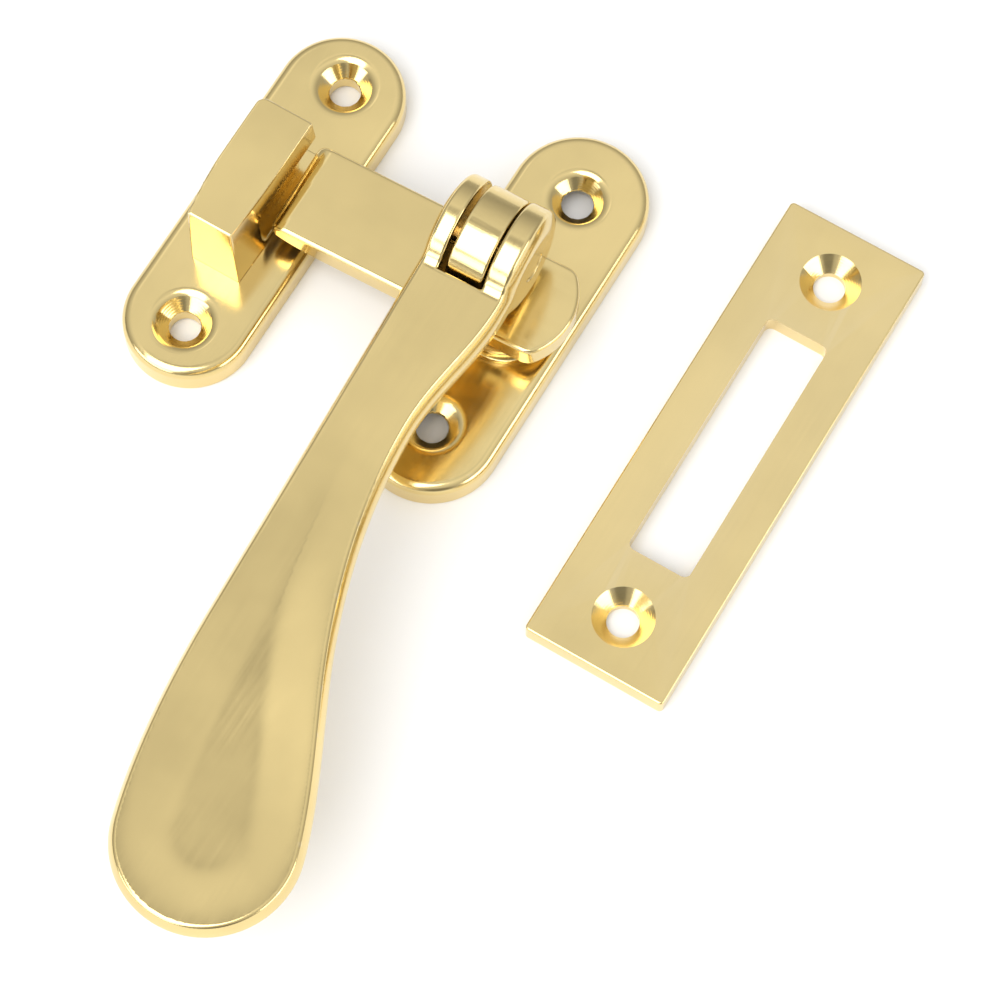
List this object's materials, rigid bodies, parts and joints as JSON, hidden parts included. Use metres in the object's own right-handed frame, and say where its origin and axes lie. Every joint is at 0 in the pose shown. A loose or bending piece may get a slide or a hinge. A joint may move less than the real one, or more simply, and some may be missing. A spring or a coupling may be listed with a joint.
{
  "type": "casement window fastener",
  "caption": "Reversible casement window fastener with a turning tongue, a hinged flared handle, a hook plate and a slotted mortice plate.",
  "frame": {"origin": "the spindle's axis on the back plane of the base plate, midway between its two screw holes", "axes": "+Z out of the window, +Y along the base plate away from the hanging handle, -X towards the hook plate"},
  "size_m": [0.0892, 0.1304, 0.0275],
  "materials": {
    "polished_brass": "polished",
    "plain_brass": "satin",
    "spring_steel": "satin"
  },
  "bodies": {
    "base": {"base_plate": "polished_brass", "thrust_washer": "plain_brass"},
    "turn": {"tongue": "polished_brass", "pivot_spindle": "polished_brass", "back_washer": "plain_brass", "spring_washer": "spring_steel"},
    "lever": {"handle": "polished_brass", "knuckle_pin": "polished_brass"},
    "hook_keep": {"hook_plate": "polished_brass", "hook": "polished_brass"},
    "mortice_keep": {"mortice_plate": "polished_brass"}
  },
  "joints": [
    {"name": "turn_swivel", "type": "hinge", "parent": "base", "child": "turn", "pos_m": [0, 0, 0.007], "axis": [0, 0, 1], "range_deg": [-92.2, 0]},
    {"name": "handle_flip", "type": "hinge", "parent": "turn", "child": "lever", "pos_m": [-0.00003, 0.0008, 0.02], "axis": [-0.9993, -0.0384, 0], "range_deg": [0, 180]},
    {"name": "hook_keep_slide", "type": "slide", "parent": "base", "child": "hook_keep", "axis": [-1, 0, 0], "range_m": [-0.003, 0.06]},
    {"name": "mortice_keep_slide", "type": "slide", "parent": "base", "child": "mortice_keep", "axis": [1, 0, 0], "range_m": [0, 0.06]}
  ]
}
